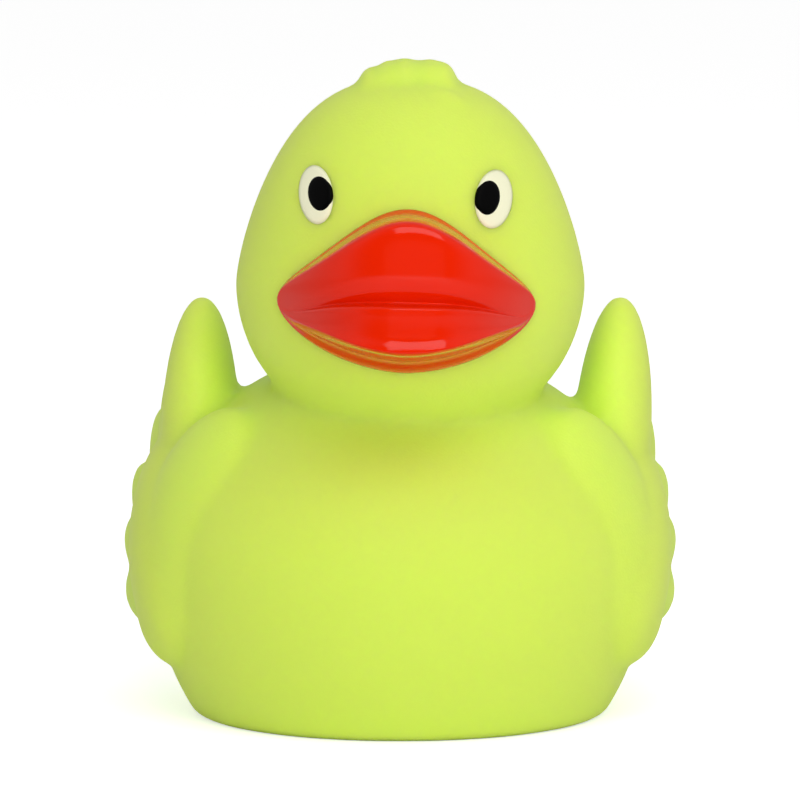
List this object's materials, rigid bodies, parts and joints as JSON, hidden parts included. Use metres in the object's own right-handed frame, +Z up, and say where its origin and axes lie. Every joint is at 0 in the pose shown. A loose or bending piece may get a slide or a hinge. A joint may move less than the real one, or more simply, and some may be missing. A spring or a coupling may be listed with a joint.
{
  "type": "rubber duck",
  "caption": "Hollow moulded bath duck with raised fanned wings, an upturned tail, a small tuft and a flat base, its beak and eyes painted.",
  "frame": {"origin": "middle of the flat base, on the surface that the duck stands on", "axes": "+Z up, -Y the way the duck looks, +X the duck's left side"},
  "size_m": [0.0736, 0.0833, 0.0845],
  "materials": {
    "vinyl": "matt translucent yellow-green vinyl",
    "beak_paint": "glossy red-orange paint",
    "eye_white": "satin off-white paint",
    "eye_black": "satin black paint"
  },
  "bodies": {
    "root": {"duck_body": "vinyl", "beak_paint": "beak_paint", "eye_white_right": "eye_white", "eye_white_left": "eye_white", "pupil_right": "eye_black", "pupil_left": "eye_black"}
  },
  "joints": []
}
